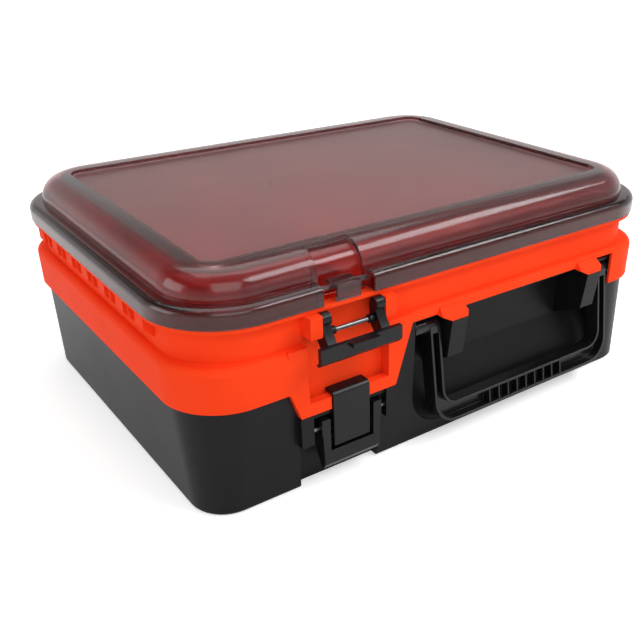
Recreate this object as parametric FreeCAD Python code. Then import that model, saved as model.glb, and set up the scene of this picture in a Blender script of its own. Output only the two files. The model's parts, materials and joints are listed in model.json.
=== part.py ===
"""Fishing tackle case in two tiers: a base box, a tray that closes it, and a lid over the tray.

X runs along the long side, the front with the latches and the handle faces -Y, and Z is up.
The origin is the middle of the flat bottom face. All lengths are in millimetres.
"""
import FreeCAD, Part
import math
import os

V = FreeCAD.Vector

# Overall size of the case, taken at the lid's skirt
CASE_WIDTH = 480.0
CASE_DEPTH = 360.0
CASE_CORNER = 62.0

# Heights of the three tiers that stand on each other
BASE_HEIGHT = 96.7
TRAY_HEIGHT = 54.2
LID_HEIGHT = 34.5

# Clearances
SEAT_GAP = 0.3
PIN_GAP = 0.05
CUT_OVERRUN = 6.0

# Base box
BASE_WALL = 2.8
BASE_FLOOR = 3.0
BASE_FOOT_INSET = 10.5
BASE_FOOT_CHAMFER = 2.0
BASE_FOOT_CORNER = 28.0
BASE_LOW_INSET = 8.8
BASE_LOW_CORNER = 30.0
BASE_RIM_INSET = 5.5
BASE_RIM_CORNER = 46.0

# Tray
TRAY_WALL = 2.5
TRAY_FLOOR = 2.8
TRAY_WALL_INSET = 9.0
TRAY_WALL_CORNER = 53.0
TRAY_LIP_INSET = 1.5
TRAY_LIP_CORNER = 60.0
TRAY_LIP_HEIGHT = 3.2
TRAY_RIM_INSET = 5.0
TRAY_RIM_THICK = 3.0
TRAY_RIM_HEIGHT = 8.8
TRAY_RIM_CORNER = 57.0
SKIRT_INSET = 1.7
SKIRT_CORNER = 48.0
SKIRT_DROP = 7.7
SKIRT_RISE = 26.0
SKIRT_WALL = 2.5
SKIRT_ROUND = 6.0
SUPPORT_RING_THICK = 4.0

# Lid
LID_WALL = 2.5
LID_FLANGE_HEIGHT = 14.5
LID_FLANGE_ROUND = 6.0
DOME_INSET = 12.0
DOME_ROUND = 19.0
PANEL_BORDER = 41.0
PANEL_DROP = 3.5
PANEL_CORNER = 14.0

# Column of the two latches
LATCH_X = -110.0
LID_NOTCH_HALF = 21.9
DOME_RECESS_HALF = 19.0
DOME_RECESS_DEPTH = 4.0
DOME_RECESS_TOP_MARGIN = 33.5
TAB_HALF = 10.0
TAB_THICK = 2.5
TAB_SETBACK = 1.0
TAB_DROP = 2.2
TAB_SHELF_THICK = 2.6
CATCH_RIB_THICK = 3.0
CATCH_RIB_SETBACK = 6.5
CATCH_RIB_RISE = 8.0

# Apron of the tray that carries both latches
APRON_TOP_LEFT_X = -161.8
APRON_LOW_LEFT_X = -153.5
APRON_LOW_RIGHT_X = -67.0
APRON_TOP_RIGHT_X = -51.0
APRON_DEPTH = 13.3
APRON_LOW_SHARE = 0.6825
APRON_SOLE = 4.0
POCKET_HALF = 36.0
POCKET_DEPTH = 10.3
LEDGE_RISE = 10.4
LEDGE_THICK = 7.3
LEDGE_FACE_CUT = 1.8

# Upper latch, shown hanging open
UPPER_PIVOT_REACH = 0.5
UPPER_EYE_R = 5.0
EYE_TANGENT_SHARES = (0.6, 0.8)
UPPER_PIN_R = 2.0
CHEEK_HALF_OUT = 27.0
CHEEK_HALF_IN = 19.5
FLAP_HALF = 35.5
FLAP_FACE_REACH = 14.5
FLAP_TOP_DROP = 15.7
FLAP_LOW_DROP = 30.2
FLAP_THICK = 4.0
FLAP_CORNER = 3.5
CATCH_HALF = 12.0
CATCH_REACH = 5.5
CATCH_THICK = 3.0
CROSS_PIN_R = 1.8
CROSS_PIN_DROP = 10.7
CROSS_PIN_BURY = 3.5
EAR_LOW_DROP = 11.5
EAR_TOP_RISE = 5.0
EAR_FRONT_REACH = 5.0
PIN_BURY = 6.5

# Lower latch, shown closed, with its levels as shares of the height below the apron
LOWER_TOP_SHARE = 0.894
LOWER_PIVOT_SHARE = 0.758
LOWER_EAR_LOW_SHARE = 0.606
LINK_PIN_SHARE = 0.576
HOOK_LOW_SHARE = 0.5
LOWER_BAR_TOP_SHARE = 0.455
LOWER_FOOT_SHARE = 0.212
LOWER_PIVOT_SETBACK = 6.0
LOWER_BACK_SETBACK = 11.5
LOWER_PIN_R = 2.0
LOWER_ARM_HALF_OUT = 27.5
LOWER_ARM_HALF_IN = 20.0
LOWER_FOOT_HALF = 25.5
LOWER_BAR_THICK = 6.0
LOWER_BAR_SLOPE = 3.0
LOWER_LIP_DEPTH = 3.0
LOWER_LIP_RISE = 4.5
LOWER_EAR_THICK = 9.5
LOWER_EAR_SETBACK = 1.5
LINTEL_THICK = 4.2
LINK_PIN_SETBACK = 7.5
LINK_PIN_R = 1.8
HOOK_HALF = 16.6
HOOK_THICK = 3.0
HOOK_BACK_SETBACK = 11.4
HOOK_EYE_R = 4.2
CHANNEL_HALF = 43.0
CHANNEL_RIGHT_HALF = 30.0
CHANNEL_DEPTH = 8.7

# Handle housing of the base and the handle
HOUSING_END_GAP = 50.5
HOUSING_RISE = 18.5
HOUSING_DEPTH = 27.0
RECESS_LEFT_X = -45.0
RECESS_SILL = 12.0
RECESS_BEND_SHARE = 0.498
HOUSING_WALL = 4.5
RECESS_CORNER = 32.0
PILLAR_LEFT_SETBACK = 22.0
PILLAR_RIGHT_SETBACK = 29.0
PILLAR_HALF = 8.3
PILLAR_TOP_DROP = 2.7
PILLAR_LOW_RISE = 14.0
PILLAR_FOOT_DROP = 2.0
PILLAR_REACH = 6.0
BUMP_SLANT = 10.0
BUMP_RISE = 5.5
SKIRT_OVERHANG = 3.0
SLOT_LEFT_MARGIN = 9.0
SLOT_TOP_DROP = 4.0
HANDLE_LEFT_GAP = 14.0
HANDLE_RIGHT_GAP = 6.0
HANDLE_ARM = 10.5
HANDLE_GRIP = 17.0
HANDLE_THICK = 14.0
HANDLE_CORNER = 22.0
HANDLE_INNER_CORNER = 14.0
HANDLE_RIM = 2.2
HANDLE_CHANNEL = 9.0
HANDLE_EYE_R = 6.5
HANDLE_PIN_R = 2.0
HANDLE_PIVOT_SETBACK = 11.5
HANDLE_PIVOT_DROP = 8.9
HANDLE_LOW_GAP = 3.5
HANDLE_LEAN_DEG = 9.0
HANDLE_RIB_COUNT = 9
HANDLE_RIB_PITCH = 11.0
HANDLE_RIB_THICK = 1.6

# Hinges along the back
KNUCKLE_R = 5.0
TRAY_AXIS_DROP = 1.8
HINGE_PIN_R = 2.0
HINGE_HALF = 30.0
HINGE_INNER_HALF = 14.0
HINGE_X = 130.0
HINGE_CLEAR = 1.3

# Dividers
DIVIDER_THICK = 2.0
BASE_LONG_Y = 40.0
BASE_CROSS_X = (-95.0, 95.0)
BASE_DIVIDER_DROP = 12.7
TRAY_LONG_Y = 20.0
TRAY_FRONT_X = (-80.0, 80.0)
TRAY_BACK_X = (-120.0, 0.0, 120.0)
TRAY_DIVIDER_DROP = 5.2
GUIDE_THICK = 1.6
GUIDE_REACH = 4.0

# Pads under the tray's lip on the short sides
PAD_COUNT = 7
PAD_PITCH = 36.0
PAD_WIDTH = 14.0
PAD_HEIGHT = 18.0
PAD_RIB_THICK = 1.6

# Levels of the base and of what hangs on it
BASE_RIM_Z = BASE_HEIGHT
HOUSING_TOP_Z = BASE_RIM_Z + HOUSING_RISE
RECESS_TOP_Z = HOUSING_TOP_Z - BASE_WALL
RECESS_LOW_Z = RECESS_SILL
RECESS_BEND_Z = RECESS_LOW_Z + (RECESS_TOP_Z - RECESS_LOW_Z) * RECESS_BEND_SHARE
PILLAR_TOP_Z = RECESS_TOP_Z - PILLAR_TOP_DROP
PILLAR_LOW_Z = RECESS_BEND_Z + PILLAR_LOW_RISE
PILLAR_FOOT_Z = RECESS_BEND_Z - PILLAR_FOOT_DROP
HANDLE_PIVOT_Z = RECESS_TOP_Z - HANDLE_PIVOT_DROP
HANDLE_LOW_Z = RECESS_LOW_Z + HANDLE_LOW_GAP
BASE_DIVIDER_TOP_Z = BASE_RIM_Z - BASE_DIVIDER_DROP
APRON_LOW_Z = BASE_HEIGHT * APRON_LOW_SHARE
LOWER_TOP_Z = APRON_LOW_Z * LOWER_TOP_SHARE
LOWER_PIVOT_Z = APRON_LOW_Z * LOWER_PIVOT_SHARE
LOWER_EAR_LOW_Z = APRON_LOW_Z * LOWER_EAR_LOW_SHARE
LINK_PIN_Z = APRON_LOW_Z * LINK_PIN_SHARE
HOOK_LOW_Z = APRON_LOW_Z * HOOK_LOW_SHARE
LOWER_BAR_TOP_Z = APRON_LOW_Z * LOWER_BAR_TOP_SHARE
LOWER_FOOT_Z = APRON_LOW_Z * LOWER_FOOT_SHARE

# Levels of the tray and the lid
TRAY_BOTTOM_Z = BASE_RIM_Z + SEAT_GAP
LIP_TOP_Z = TRAY_BOTTOM_Z + TRAY_HEIGHT
LIP_LOW_Z = LIP_TOP_Z - TRAY_LIP_HEIGHT
RIM_TOP_Z = LIP_TOP_Z + TRAY_RIM_HEIGHT
SKIRT_LOW_Z = TRAY_BOTTOM_Z - SKIRT_DROP
SKIRT_TOP_Z = TRAY_BOTTOM_Z + SKIRT_RISE
SLOT_TOP_Z = SKIRT_TOP_Z - SLOT_TOP_DROP
BUMP_LOW_Z = PILLAR_TOP_Z + SEAT_GAP
BUMP_SHOULDER_Z = BUMP_LOW_Z + BUMP_RISE
POCKET_FLOOR_Z = APRON_LOW_Z + APRON_SOLE
LEDGE_TOP_Z = APRON_LOW_Z + LEDGE_RISE
TRAY_DIVIDER_TOP_Z = LIP_TOP_Z - TRAY_DIVIDER_DROP
UPPER_PIVOT_Z = LIP_LOW_Z - UPPER_EYE_R - SEAT_GAP
HOOK_TOP_Z = LEDGE_TOP_Z + 2 * SEAT_GAP + HOOK_THICK
LID_LOW_Z = LIP_TOP_Z + SEAT_GAP
LID_FLANGE_Z = LID_LOW_Z + LID_FLANGE_HEIGHT
TAB_TOP_Z = LID_FLANGE_Z - TAB_DROP
CASE_HEIGHT = LID_LOW_Z + LID_HEIGHT
LID_AXIS_Z = LIP_LOW_Z + HINGE_PIN_R
TRAY_AXIS_Z = SKIRT_LOW_Z - TRAY_AXIS_DROP

# Places across the front and from front to back
FRONT_Y = -CASE_DEPTH / 2
SKIRT_FRONT_Y = FRONT_Y + SKIRT_INSET
LID_AXIS_Y = CASE_DEPTH / 2 + KNUCKLE_R + HINGE_CLEAR
TRAY_AXIS_Y = CASE_DEPTH / 2 - SKIRT_INSET + KNUCKLE_R + HINGE_CLEAR
UPPER_PIVOT_Y = FRONT_Y - UPPER_PIVOT_REACH
LOWER_PIVOT_Y = FRONT_Y + LOWER_PIVOT_SETBACK
LOWER_FRONT_Y = FRONT_Y
LOWER_BACK_Y = FRONT_Y + LOWER_BACK_SETBACK
LOWER_EAR_FRONT_Y = FRONT_Y + LOWER_EAR_SETBACK
LINK_PIN_Y = FRONT_Y + LINK_PIN_SETBACK
HOOK_BACK_Y = FRONT_Y + HOOK_BACK_SETBACK
HOUSING_RIGHT_X = CASE_WIDTH / 2 - HOUSING_END_GAP
RECESS_RIGHT_X = HOUSING_RIGHT_X - HOUSING_WALL
SKIRT_RIGHT_X = RECESS_RIGHT_X - SKIRT_OVERHANG
HANDLE_LEFT_X = RECESS_LEFT_X + HANDLE_LEFT_GAP
HANDLE_RIGHT_X = RECESS_RIGHT_X - HANDLE_RIGHT_GAP
HANDLE_X = (HANDLE_LEFT_X + HANDLE_RIGHT_X) / 2
HANDLE_HALF = (HANDLE_RIGHT_X - HANDLE_LEFT_X) / 2
HANDLE_PIVOT_Y = FRONT_Y + HANDLE_PIVOT_SETBACK
PILLAR_LEFT_X = HANDLE_LEFT_X + PILLAR_LEFT_SETBACK
PILLAR_RIGHT_X = HANDLE_RIGHT_X - PILLAR_RIGHT_SETBACK
PILLAR_FRONT_Y = FRONT_Y - PILLAR_REACH
SLOT_LEFT_X = PILLAR_RIGHT_X + SLOT_LEFT_MARGIN


def rounded_outline(inset, corner, z):
    """Closed outline of the case at height z, drawn in from the full size by inset."""
    half_x = CASE_WIDTH / 2 - inset
    half_y = CASE_DEPTH / 2 - inset
    edges = []
    turns = ((1, -1, -90), (1, 1, 0), (-1, 1, 90), (-1, -1, 180))
    ends = []
    for sign_x, sign_y, start in turns:
        middle = V(sign_x * (half_x - corner), sign_y * (half_y - corner), z)
        points = []
        for turn in (0, 45, 90):
            angle = math.radians(start + turn)
            points.append(middle + V(corner * math.cos(angle), corner * math.sin(angle), 0))
        edges.append(Part.Arc(*points).toShape())
        ends.append((points[0], points[2]))
    for index in range(len(ends)):
        start_point = ends[index][1]
        end_point = ends[(index + 1) % len(ends)][0]
        edges.insert(2 * index + 1, Part.LineSegment(start_point, end_point).toShape())
    return Part.Wire(edges)


def case_prism(inset, corner, low_z, high_z):
    """Upright block with the case's rounded outline."""
    face = Part.Face(rounded_outline(inset, corner, low_z))
    return face.extrude(V(0, 0, high_z - low_z))


def case_taper(sections):
    """Block through outlines given as (inset, corner, z), with drafted sides."""
    wires = [rounded_outline(inset, corner, z) for inset, corner, z in sections]
    return Part.makeLoft(wires, True, True)


def block(low_x, high_x, low_y, high_y, low_z, high_z):
    """Box between two corners."""
    return Part.makeBox(high_x - low_x, high_y - low_y, high_z - low_z, V(low_x, low_y, low_z))


def rod_x(low_x, high_x, y, z, radius):
    """Round rod along X."""
    return Part.makeCylinder(radius, high_x - low_x, V(low_x, y, z), V(1, 0, 0))


def side_profile(points, low_x, high_x):
    """Prism along X from an outline of (y, z) points."""
    corners = [V(low_x, y, z) for y, z in points]
    face = Part.Face(Part.makePolygon(corners + [corners[0]]))
    return face.extrude(V(high_x - low_x, 0, 0))


def front_profile(points, low_y, high_y):
    """Prism along Y from an outline of (x, z) points."""
    corners = [V(x, low_y, z) for x, z in points]
    face = Part.Face(Part.makePolygon(corners + [corners[0]]))
    return face.extrude(V(0, high_y - low_y, 0))


def edges_at_height(shape, z):
    """Edges that lie level at height z."""
    found = []
    for edge in shape.Edges:
        if all(abs(vertex.Z - z) < PIN_GAP for vertex in edge.Vertexes):
            found.append(edge)
    return found


def upright_edges(shape, x_values, z_values):
    """Edges along Y whose ends lie at one of the given x and z pairs."""
    found = []
    for edge in shape.Edges:
        first = edge.Vertexes[0]
        last = edge.Vertexes[-1]
        level = abs(first.X - last.X) < PIN_GAP and abs(first.Z - last.Z) < PIN_GAP
        if level and any(abs(first.X - x) < PIN_GAP for x in x_values):
            if any(abs(first.Z - z) < PIN_GAP for z in z_values):
                found.append(edge)
    return found


def joined(shapes):
    """One solid from overlapping shapes."""
    result = shapes[0]
    if len(shapes) > 1:
        result = result.fuse(shapes[1:])
    return result.removeSplitter()


def carved(shape, tools):
    """Shape with the tools cut away."""
    return shape.cut(tools)


def knuckles(axis_y, axis_z, inner, web_low_z, web_high_z, web_from_y):
    """Hinge knuckles of one leaf on both hinges, without their bores."""
    found = []
    for middle in (-HINGE_X, HINGE_X):
        if inner:
            spans = ((-HINGE_INNER_HALF + SEAT_GAP, HINGE_INNER_HALF - SEAT_GAP),)
        else:
            spans = ((-HINGE_HALF, -HINGE_INNER_HALF), (HINGE_INNER_HALF, HINGE_HALF))
        for low, high in spans:
            rod = rod_x(middle + low, middle + high, axis_y, axis_z, KNUCKLE_R)
            web = block(middle + low, middle + high, web_from_y, axis_y, web_low_z, web_high_z)
            found.append(rod.fuse(web))
    return found


def hinge_bores(axis_y, axis_z):
    """Bores of both hinges."""
    radius = HINGE_PIN_R + PIN_GAP
    found = []
    for middle in (-HINGE_X, HINGE_X):
        low = middle - HINGE_HALF - CUT_OVERRUN
        high = middle + HINGE_HALF + CUT_OVERRUN
        found.append(rod_x(low, high, axis_y, axis_z, radius))
    return found


def apron_outline(growth):
    """Outline of the latch apron, seen from the front, grown sideways and downwards."""
    return [
        (APRON_TOP_LEFT_X - growth, SKIRT_LOW_Z - growth),
        (APRON_LOW_LEFT_X - growth, APRON_LOW_Z - growth),
        (APRON_LOW_RIGHT_X + growth, APRON_LOW_Z - growth),
        (APRON_TOP_RIGHT_X + growth, HOUSING_TOP_Z + SEAT_GAP),
        (APRON_TOP_RIGHT_X + growth, SKIRT_TOP_Z),
        (APRON_TOP_LEFT_X - growth, SKIRT_TOP_Z),
    ]


def housing_outline(growth):
    """Outline of the handle housing, seen from the front."""
    return [
        (APRON_LOW_RIGHT_X + 2 * SEAT_GAP - growth, 0),
        (APRON_LOW_RIGHT_X + 2 * SEAT_GAP - growth, APRON_LOW_Z),
        (APRON_TOP_RIGHT_X + 2 * SEAT_GAP - growth, HOUSING_TOP_Z + growth),
        (HOUSING_RIGHT_X + growth, HOUSING_TOP_Z + growth),
        (HOUSING_RIGHT_X + growth, 0),
    ]


def handle_recess(growth):
    """Scoop behind the handle, grown all round for the wall behind it."""
    front = FRONT_Y - 2 * CUT_OVERRUN
    back = -CASE_DEPTH / 2 + BASE_RIM_INSET + HOUSING_DEPTH - BASE_WALL + growth
    low_front = -CASE_DEPTH / 2 + BASE_LOW_INSET
    points = [
        (front, RECESS_TOP_Z + growth),
        (back, RECESS_TOP_Z + growth),
        (back, RECESS_BEND_Z - growth),
        (low_front + growth, RECESS_LOW_Z - growth),
        (front, RECESS_LOW_Z - growth),
    ]
    scoop = side_profile(points, RECESS_LEFT_X - growth, RECESS_RIGHT_X + growth)
    corner_x = (RECESS_LEFT_X - growth, RECESS_RIGHT_X + growth)
    window = block(corner_x[0], corner_x[1], front, back + growth + CUT_OVERRUN,
                   RECESS_LOW_Z - growth, RECESS_TOP_Z + growth)
    low_edges = upright_edges(window, corner_x, (RECESS_LOW_Z - growth,))
    window = window.makeFillet(RECESS_CORNER + growth, low_edges)
    return scoop.common(window)


def latch_channel(growth):
    """Channel of the lower latch in the base, with the room for the apron above it."""
    front = FRONT_Y - 2 * CUT_OVERRUN
    channel_back = FRONT_Y + BASE_LOW_INSET + CHANNEL_DEPTH + growth
    low = LATCH_X - CHANNEL_HALF - growth
    high = LATCH_X + CHANNEL_RIGHT_HALF + growth
    channel = block(low, high, front, channel_back, -CUT_OVERRUN, APRON_LOW_Z)
    apron_back = SKIRT_FRONT_Y + APRON_DEPTH + SEAT_GAP + growth
    apron = front_profile(apron_outline(SEAT_GAP + growth), front, apron_back)
    return joined([channel, apron])


def base_outer(inset):
    """Drafted outside of the base, drawn in by inset."""
    return case_taper((
        (BASE_FOOT_INSET + inset, BASE_FOOT_CORNER - inset, 0),
        (BASE_LOW_INSET + inset, BASE_LOW_CORNER - inset, BASE_FOOT_CHAMFER),
        (BASE_RIM_INSET + inset, BASE_RIM_CORNER - inset, HOUSING_TOP_Z),
    ))


def make_base_shell():
    """Base box with the latch channel, the handle housing and its half of the rear hinges."""
    solid = base_outer(0)
    below_rim = block(-CASE_WIDTH, CASE_WIDTH, -CASE_DEPTH, CASE_DEPTH, 0, BASE_RIM_Z)
    housing_back = -CASE_DEPTH / 2 + BASE_RIM_INSET + HOUSING_DEPTH
    housing_room = front_profile(housing_outline(0), -CASE_DEPTH, housing_back)
    outside = joined([solid.common(below_rim), solid.common(housing_room)])
    hollow = base_outer(BASE_WALL).common(
        block(-CASE_WIDTH, CASE_WIDTH, -CASE_DEPTH, CASE_DEPTH, BASE_FLOOR, CASE_HEIGHT))
    keep = [handle_recess(BASE_WALL), latch_channel(BASE_WALL), housing_walls()]
    shell = carved(outside, [carved(hollow, keep)])
    shell = carved(shell, [handle_recess(0), latch_channel(0)])
    added = [pillar(PILLAR_LEFT_X), pillar(PILLAR_RIGHT_X)]
    added += lower_ears()
    added += base_guides()
    web_low = TRAY_AXIS_Z - KNUCKLE_R
    web_from = CASE_DEPTH / 2 - BASE_RIM_INSET - BASE_WALL
    added += knuckles(TRAY_AXIS_Y, TRAY_AXIS_Z, False, web_low, TRAY_AXIS_Z - HINGE_PIN_R, web_from)
    shell = joined([shell] + added)
    return carved(shell, hinge_bores(TRAY_AXIS_Y, TRAY_AXIS_Z) + handle_bores() + lower_bores())


def housing_walls():
    """Room above the rim that the handle housing keeps solid."""
    housing_back = -CASE_DEPTH / 2 + BASE_RIM_INSET + HOUSING_DEPTH
    room = front_profile(housing_outline(0), -CASE_DEPTH, housing_back)
    low = block(-CASE_WIDTH, CASE_WIDTH, -CASE_DEPTH, CASE_DEPTH, -CUT_OVERRUN, BASE_RIM_Z - BASE_WALL)
    return carved(room, [low])


def pillar(middle):
    """Stop block inside the handle recess, under a bump of the tray."""
    back = -CASE_DEPTH / 2 + BASE_RIM_INSET + HOUSING_DEPTH - BASE_WALL / 2
    foot_front = PILLAR_FRONT_Y + PILLAR_HALF / 2
    points = [
        (back, PILLAR_TOP_Z),
        (PILLAR_FRONT_Y, PILLAR_TOP_Z),
        (foot_front, PILLAR_LOW_Z),
        (back, PILLAR_FOOT_Z),
    ]
    return side_profile(points, middle - PILLAR_HALF, middle + PILLAR_HALF)


def lower_ears():
    """Ears on both sides of the channel that carry the lower latch, and the lintel between them."""
    back = FRONT_Y + BASE_LOW_INSET + CHANNEL_DEPTH + BASE_WALL / 2
    top = APRON_LOW_Z - SEAT_GAP
    outer = CHANNEL_HALF + BASE_WALL / 2
    lintel_front = LOWER_FRONT_Y + HOOK_THICK + 2 * SEAT_GAP
    found = [block(LATCH_X - outer, LATCH_X + outer, lintel_front, back, top - LINTEL_THICK, top)]
    for side in (-1, 1):
        near = LATCH_X + side * (CHANNEL_HALF - LOWER_EAR_THICK)
        far = LATCH_X + side * outer
        low = min(near, far)
        high = max(near, far)
        found.append(block(low, high, LOWER_EAR_FRONT_Y, back, LOWER_EAR_LOW_Z, top))
    return found


def lower_pin_span(side):
    """Ends along X of a pivot pin of the lower latch."""
    inner = LATCH_X + side * (LOWER_ARM_HALF_OUT - PIN_BURY)
    outer = LATCH_X + side * (CHANNEL_HALF - LOWER_EAR_THICK + PIN_BURY)
    return min(inner, outer), max(inner, outer)


def lower_bores():
    """Blind seats in the ears for the pivot pins of the lower latch."""
    found = []
    for side in (-1, 1):
        low, high = lower_pin_span(side)
        found.append(rod_x(low - PIN_GAP, high + PIN_GAP, LOWER_PIVOT_Y, LOWER_PIVOT_Z,
                           LOWER_PIN_R + PIN_GAP))
    return found


def handle_boss_span(side):
    """Ends along X of the boss at the top of a handle arm."""
    if side < 0:
        return RECESS_LEFT_X + SEAT_GAP, HANDLE_X - HANDLE_HALF + HANDLE_ARM
    return HANDLE_X + HANDLE_HALF - HANDLE_ARM, RECESS_RIGHT_X - SEAT_GAP


def handle_pin_span(side):
    """Ends along X of a handle pin, from its seat in the housing into the boss."""
    seat = HOUSING_WALL * 2 / 3
    if side < 0:
        return RECESS_LEFT_X - seat, RECESS_LEFT_X + PIN_BURY
    return RECESS_RIGHT_X - PIN_BURY, RECESS_RIGHT_X + seat


def handle_bores():
    """Seats for the handle pins in the sides of the recess."""
    found = []
    for side in (-1, 1):
        low, high = handle_pin_span(side)
        found.append(rod_x(low - PIN_GAP, high + PIN_GAP, HANDLE_PIVOT_Y, HANDLE_PIVOT_Z,
                           HANDLE_PIN_R + PIN_GAP))
    return found


def guide_pair(wall_x, bury, y, low_z, high_z):
    """Two upright guides on an end wall, on both sides of a divider at y."""
    near = DIVIDER_THICK / 2 + SEAT_GAP
    inner = wall_x - math.copysign(GUIDE_REACH, wall_x)
    outer = wall_x + math.copysign(bury, wall_x)
    found = []
    for low in (-near - GUIDE_THICK, near):
        found.append(block(min(inner, outer), max(inner, outer), y + low, y + low + GUIDE_THICK,
                           low_z, high_z))
    return found


def base_guides():
    """Guides on the base's end walls for the long divider."""
    wall_x = CASE_WIDTH / 2 - BASE_LOW_INSET - BASE_WALL
    low = BASE_FLOOR / 2
    found = []
    for side in (-1, 1):
        found += guide_pair(side * wall_x, BASE_WALL / 2, BASE_LONG_Y, low, BASE_DIVIDER_TOP_Z)
    return found


def make_base_dividers():
    """Long divider of the base and the cross dividers in front of it."""
    room = base_outer(BASE_WALL + SEAT_GAP)
    half = DIVIDER_THICK / 2
    low = BASE_FLOOR + SEAT_GAP
    top = BASE_DIVIDER_TOP_Z
    keep_out = [handle_recess(BASE_WALL + SEAT_GAP), latch_channel(BASE_WALL + SEAT_GAP)]
    found = {}
    long_plate = block(-CASE_WIDTH, CASE_WIDTH, BASE_LONG_Y - half, BASE_LONG_Y + half, low, top)
    found["base_long_divider"] = long_plate.common(room)
    names = ("base_cross_divider_left", "base_cross_divider_right")
    for name, x in zip(names, BASE_CROSS_X):
        plate = block(x - half, x + half, -CASE_DEPTH, BASE_LONG_Y - half - SEAT_GAP, low, top)
        found[name] = carved(plate.common(room), keep_out)
    return found


def tray_wall(inset, low_z, high_z):
    """Tub of the tray, drawn in by inset."""
    return case_prism(TRAY_WALL_INSET + inset, TRAY_WALL_CORNER - inset, low_z, high_z)


def tray_keep_clear(growth):
    """Room that the handle housing of the base takes out of the tray."""
    back = -CASE_DEPTH / 2 + BASE_RIM_INSET + HOUSING_DEPTH + SEAT_GAP + growth
    points = [
        (APRON_LOW_RIGHT_X - growth, APRON_LOW_Z - 2 * CUT_OVERRUN),
        (APRON_LOW_RIGHT_X - growth, APRON_LOW_Z),
        (APRON_TOP_RIGHT_X - growth, HOUSING_TOP_Z + SEAT_GAP + growth),
        (HOUSING_RIGHT_X + SEAT_GAP + growth, HOUSING_TOP_Z + SEAT_GAP + growth),
        (HOUSING_RIGHT_X + SEAT_GAP + growth, APRON_LOW_Z - 2 * CUT_OVERRUN),
    ]
    return front_profile(points, SKIRT_FRONT_Y + SKIRT_WALL - growth, back)


def skirt_opening():
    """Opening in the front of the skirt over the handle recess."""
    points = [
        (APRON_LOW_RIGHT_X, APRON_LOW_Z - 2 * CUT_OVERRUN),
        (APRON_LOW_RIGHT_X, APRON_LOW_Z),
        (APRON_TOP_RIGHT_X, HOUSING_TOP_Z + SEAT_GAP),
        (SKIRT_RIGHT_X, HOUSING_TOP_Z + SEAT_GAP),
        (SKIRT_RIGHT_X, APRON_LOW_Z - 2 * CUT_OVERRUN),
    ]
    return front_profile(points, -CASE_DEPTH, SKIRT_FRONT_Y + SKIRT_WALL + CUT_OVERRUN)


def latch_pocket(growth):
    """Pocket of the upper latch in the tray's front."""
    front = FRONT_Y - 2 * CUT_OVERRUN
    back = SKIRT_FRONT_Y + POCKET_DEPTH + growth
    low = LATCH_X - POCKET_HALF - growth
    high = LATCH_X + POCKET_HALF + growth
    pocket = block(low, high, front, back, LEDGE_TOP_Z, LIP_LOW_Z)
    behind = block(low, high, SKIRT_FRONT_Y + LEDGE_THICK - growth, back, POCKET_FLOOR_Z - growth,
                   LEDGE_TOP_Z + CUT_OVERRUN)
    return joined([pocket, behind])


def rim_gap():
    """Gap in the tray's rim that the walls of the lid's recess come down into."""
    reach = LID_NOTCH_HALF + LID_WALL + 2 * SEAT_GAP
    return block(LATCH_X - reach, LATCH_X + reach, FRONT_Y, FRONT_Y + DOME_INSET + LID_WALL,
                 LIP_TOP_Z, RIM_TOP_Z + CUT_OVERRUN)


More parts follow.
